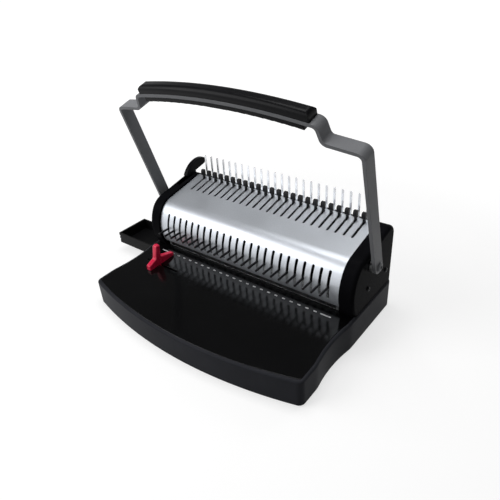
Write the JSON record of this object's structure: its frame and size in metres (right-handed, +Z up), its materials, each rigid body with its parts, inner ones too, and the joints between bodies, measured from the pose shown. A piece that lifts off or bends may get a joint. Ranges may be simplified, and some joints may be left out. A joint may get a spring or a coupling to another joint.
{
  "type": "comb binding machine",
  "caption": "Manual comb binding machine: lever punch with pull-out release pins under a curved silver cover, comb opener on its deck, paper table with edge guide, and a chip drawer.",
  "frame": {"origin": "on the table top that the machine stands on, midway between its ends, below the shoulder of the curved cover", "axes": "+Z up, +X to the operator's right along the comb holes, +Y away from the operator"},
  "size_m": [0.5342, 0.3114, 0.3662],
  "materials": {
    "table_black": "glossy moulded black",
    "apron_grey": "satin moulded dark grey",
    "plate_black": "matt black paint on sheet steel",
    "foot_rubber": "soft matt rubber",
    "cover_silver": "satin silver paint on sheet steel",
    "cap_black": "glossy moulded black",
    "frame_grey": "plain grey paint on steel plate",
    "tool_steel": "ground tool steel",
    "tine_steel": "bright rolled steel",
    "screw_steel": "zinc plated steel",
    "screw_black": "black oxide steel",
    "bush_brass": "turned bearing metal",
    "arm_grey": "fine silver-grey paint on bent flat bar",
    "grip_black": "satin moulded black grip",
    "pin_black": "black oxide steel",
    "hook_black": "black coated steel",
    "lever_black": "glossy moulded black",
    "drawer_black": "satin moulded black",
    "guide_red": "glossy moulded red"
  },
  "bodies": {
    "base": {"table_top": "table_black", "base_apron": "apron_grey", "bottom_plate": "plate_black", "rubber_feet": "foot_rubber", "front_cover": "cover_silver", "rear_cover": "plate_black", "right_end_cap": "cap_black", "left_end_cap": "cap_black", "right_side_frame": "frame_grey", "left_side_frame": "frame_grey", "die_plate": "tool_steel", "guide_plate": "tool_steel", "paper_stop": "tool_steel", "tie_rods": "screw_steel", "shaft_bushes": "bush_brass", "tine_bar": "frame_grey", "comb_tines": "tine_steel", "drawer_runners": "drawer_black", "case_screws": "screw_black", "return_springs": "tine_steel"},
    "handle": {"handle_shaft": "tool_steel", "right_handle_arm": "arm_grey", "left_handle_arm": "arm_grey", "handle_grip": "grip_black", "grip_plate": "grip_black", "handle_screws": "arm_grey", "handle_cranks": "frame_grey", "crank_rollers": "bush_brass"},
    "beam": {"punch_beam": "pin_black", "beam_forks": "frame_grey", "punches": "tool_steel"},
    "opener": {"hook_carrier": "screw_steel", "comb_hooks": "hook_black", "opener_lever": "lever_black"},
    "drawer": {"chip_drawer": "drawer_black"},
    "paper_guide": {"edge_guide": "guide_red"},
    "release_pin_01": {"release_pin_01": "pin_black"},
    "release_pin_02": {"release_pin_02": "pin_black"},
    "release_pin_03": {"release_pin_03": "pin_black"},
    "release_pin_04": {"release_pin_04": "pin_black"},
    "release_pin_05": {"release_pin_05": "pin_black"},
    "release_pin_06": {"release_pin_06": "pin_black"},
    "release_pin_07": {"release_pin_07": "pin_black"},
    "release_pin_08": {"release_pin_08": "pin_black"},
    "release_pin_09": {"release_pin_09": "pin_black"},
    "release_pin_10": {"release_pin_10": "pin_black"},
    "release_pin_11": {"release_pin_11": "pin_black"},
    "release_pin_12": {"release_pin_12": "pin_black"},
    "release_pin_13": {"release_pin_13": "pin_black"},
    "release_pin_14": {"release_pin_14": "pin_black"},
    "release_pin_15": {"release_pin_15": "pin_black"},
    "release_pin_16": {"release_pin_16": "pin_black"},
    "release_pin_17": {"release_pin_17": "pin_black"},
    "release_pin_18": {"release_pin_18": "pin_black"},
    "release_pin_19": {"release_pin_19": "pin_black"},
    "release_pin_20": {"release_pin_20": "pin_black"},
    "release_pin_21": {"release_pin_21": "pin_black"},
    "release_pin_22": {"release_pin_22": "pin_black"},
    "release_pin_23": {"release_pin_23": "pin_black"},
    "release_pin_24": {"release_pin_24": "pin_black"}
  },
  "joints": [
    {"name": "handle_turn", "type": "hinge", "parent": "base", "child": "handle", "pos_m": [0, 0.043, 0.119], "axis": [1, 0, 0], "range_deg": [0, 78], "stiffness_Nm_per_rad": 1.3, "springref_deg": -57.3},
    {"name": "beam_slide", "type": "slide", "parent": "base", "child": "beam", "axis": [0, 0, -1], "range_m": [0, 0.01325], "deforming": ["return_springs"]},
    {"name": "comb_opener_slide", "type": "slide", "parent": "base", "child": "opener", "axis": [0, -0.9803, -0.1977], "range_m": [0, 0.034]},
    {"name": "chip_drawer_slide", "type": "slide", "parent": "base", "child": "drawer", "axis": [-1, 0, 0], "range_m": [-0.104, 0.19]},
    {"name": "edge_guide_slide", "type": "slide", "parent": "base", "child": "paper_guide", "axis": [1, 0, 0], "range_m": [-0.022, 0.04]},
    {"name": "release_pin_01_pull", "type": "slide", "parent": "beam", "child": "release_pin_01", "axis": [0, -1, 0], "range_m": [0, 0.009]},
    {"name": "release_pin_02_pull", "type": "slide", "parent": "beam", "child": "release_pin_02", "axis": [0, -1, 0], "range_m": [0, 0.009]},
    {"name": "release_pin_03_pull", "type": "slide", "parent": "beam", "child": "release_pin_03", "axis": [0, -1, 0], "range_m": [0, 0.009]},
    {"name": "release_pin_04_pull", "type": "slide", "parent": "beam", "child": "release_pin_04", "axis": [0, -1, 0], "range_m": [0, 0.009]},
    {"name": "release_pin_05_pull", "type": "slide", "parent": "beam", "child": "release_pin_05", "axis": [0, -1, 0], "range_m": [0, 0.009]},
    {"name": "release_pin_06_pull", "type": "slide", "parent": "beam", "child": "release_pin_06", "axis": [0, -1, 0], "range_m": [0, 0.009]},
    {"name": "release_pin_07_pull", "type": "slide", "parent": "beam", "child": "release_pin_07", "axis": [0, -1, 0], "range_m": [0, 0.009]},
    {"name": "release_pin_08_pull", "type": "slide", "parent": "beam", "child": "release_pin_08", "axis": [0, -1, 0], "range_m": [0, 0.009]},
    {"name": "release_pin_09_pull", "type": "slide", "parent": "beam", "child": "release_pin_09", "axis": [0, -1, 0], "range_m": [0, 0.009]},
    {"name": "release_pin_10_pull", "type": "slide", "parent": "beam", "child": "release_pin_10", "axis": [0, -1, 0], "range_m": [0, 0.009]},
    {"name": "release_pin_11_pull", "type": "slide", "parent": "beam", "child": "release_pin_11", "axis": [0, -1, 0], "range_m": [0, 0.009]},
    {"name": "release_pin_12_pull", "type": "slide", "parent": "beam", "child": "release_pin_12", "axis": [0, -1, 0], "range_m": [0, 0.009]},
    {"name": "release_pin_13_pull", "type": "slide", "parent": "beam", "child": "release_pin_13", "axis": [0, -1, 0], "range_m": [0, 0.009]},
    {"name": "release_pin_14_pull", "type": "slide", "parent": "beam", "child": "release_pin_14", "axis": [0, -1, 0], "range_m": [0, 0.009]},
    {"name": "release_pin_15_pull", "type": "slide", "parent": "beam", "child": "release_pin_15", "axis": [0, -1, 0], "range_m": [0, 0.009]},
    {"name": "release_pin_16_pull", "type": "slide", "parent": "beam", "child": "release_pin_16", "axis": [0, -1, 0], "range_m": [0, 0.009]},
    {"name": "release_pin_17_pull", "type": "slide", "parent": "beam", "child": "release_pin_17", "axis": [0, -1, 0], "range_m": [0, 0.009]},
    {"name": "release_pin_18_pull", "type": "slide", "parent": "beam", "child": "release_pin_18", "axis": [0, -1, 0], "range_m": [0, 0.009]},
    {"name": "release_pin_19_pull", "type": "slide", "parent": "beam", "child": "release_pin_19", "axis": [0, -1, 0], "range_m": [0, 0.009]},
    {"name": "release_pin_20_pull", "type": "slide", "parent": "beam", "child": "release_pin_20", "axis": [0, -1, 0], "range_m": [0, 0.009]},
    {"name": "release_pin_21_pull", "type": "slide", "parent": "beam", "child": "release_pin_21", "axis": [0, -1, 0], "range_m": [0, 0.009]},
    {"name": "release_pin_22_pull", "type": "slide", "parent": "beam", "child": "release_pin_22", "axis": [0, -1, 0], "range_m": [0, 0.009]},
    {"name": "release_pin_23_pull", "type": "slide", "parent": "beam", "child": "release_pin_23", "axis": [0, -1, 0], "range_m": [0, 0.009]},
    {"name": "release_pin_24_pull", "type": "slide", "parent": "beam", "child": "release_pin_24", "axis": [0, -1, 0], "range_m": [0, 0.009]}
  ],
  "couplings": [
    {"joint": "beam_slide", "follows": "handle_turn", "m_per_rad": 0.0097078}
  ]
}
